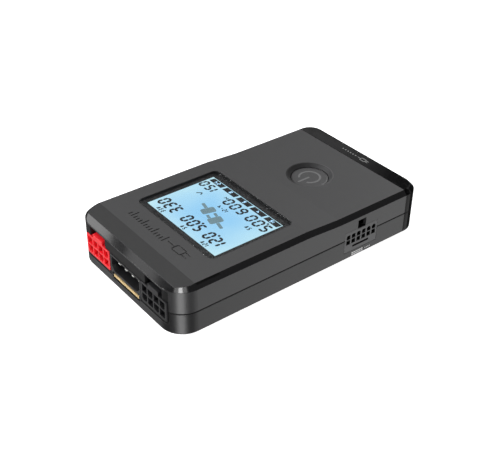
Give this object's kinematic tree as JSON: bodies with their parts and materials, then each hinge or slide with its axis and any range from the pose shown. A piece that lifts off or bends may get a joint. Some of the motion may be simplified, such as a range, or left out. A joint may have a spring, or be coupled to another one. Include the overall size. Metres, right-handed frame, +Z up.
{
  "type": "computer power supply tester",
  "caption": "Handheld computer power-supply tester: slim grey case with backlit display, round power button, glossy end cap, and sockets on the front and both long sides.",
  "frame": {"origin": "bottom centre of the case", "axes": "+Z up, +Y along the long side towards the glossy end cap, +X towards the side with the graphics-card socket"},
  "size_m": [0.0746, 0.134, 0.0227],
  "materials": {
    "case_grey": "fine matt moulded grain",
    "shell_grey": "fine matt moulded grain",
    "gloss_black": "high gloss",
    "panel_black": "satin",
    "label_foil": "satin printed foil, blank",
    "screw_steel": "blackened steel",
    "clear_lens": "clear hard-coated window",
    "border_black": "printed black border",
    "display_blue": "lit pale-blue liquid-crystal cell",
    "backlight_white": "light guide",
    "holder_white": "moulded",
    "tinned_metal": "tin plated",
    "button_grey": "fine matt grain",
    "switch_black": "moulded",
    "socket_red": "satin moulded nylon",
    "socket_black": "moulded nylon",
    "gold_contact": "gold plated",
    "socket_grey": "moulded nylon",
    "board_green": "solder mask over glass laminate",
    "chip_black": "moulded package",
    "cement_white": "cement casing",
    "capacitor_black": "sleeved can",
    "ferrite_grey": "ferrite",
    "chip_ceramic": "surface-mounted parts"
  },
  "bodies": {
    "case": {"top_cover": "case_grey", "bottom_shell": "shell_grey", "end_cap_upper": "gloss_black", "end_cap_lower": "gloss_black", "front_panel": "panel_black", "rating_label": "label_foil", "case_screws": "screw_steel", "display_lens": "clear_lens", "lens_border": "border_black", "display_glass": "display_blue", "display_backlight": "backlight_white", "display_holder": "holder_white", "display_pins": "tinned_metal", "switch_body": "switch_black", "switch_dome": "tinned_metal", "red_socket_housing": "socket_red", "red_socket_pins": "tinned_metal", "black_socket_housing": "socket_black", "black_socket_pins": "tinned_metal", "main_socket_housing": "socket_black", "main_socket_pins": "tinned_metal", "peripheral_housing": "socket_black", "peripheral_pins": "tinned_metal", "drive_housing": "socket_black", "drive_contacts": "gold_contact", "side_socket_housing": "socket_grey", "side_socket_pins": "gold_contact", "signal_pins": "gold_contact", "main_board": "board_green", "board_screws": "screw_steel", "controller_chip": "chip_black", "controller_leads": "tinned_metal", "comparator_chips": "chip_black", "comparator_leads": "tinned_metal", "load_resistors": "cement_white", "storage_capacitors": "capacitor_black", "buzzer": "chip_black", "crystal": "tinned_metal", "power_inductors": "ferrite_grey", "chip_parts": "chip_ceramic"},
    "button": {"power_button": "button_grey"},
    "plunger": {"switch_plunger": "switch_black"}
  },
  "joints": [
    {"name": "power_button_press", "type": "slide", "parent": "case", "child": "button", "axis": [0, 0, -1], "range_m": [0, 0.0005], "stiffness_N_per_m": 2000, "springref_m": -0.0005},
    {"name": "switch_plunger_travel", "type": "slide", "parent": "case", "child": "plunger", "axis": [0, 0, -1], "range_m": [0, 0.0005]}
  ],
  "couplings": [
    {"joint": "switch_plunger_travel", "follows": "power_button_press", "ratio": 1}
  ]
}
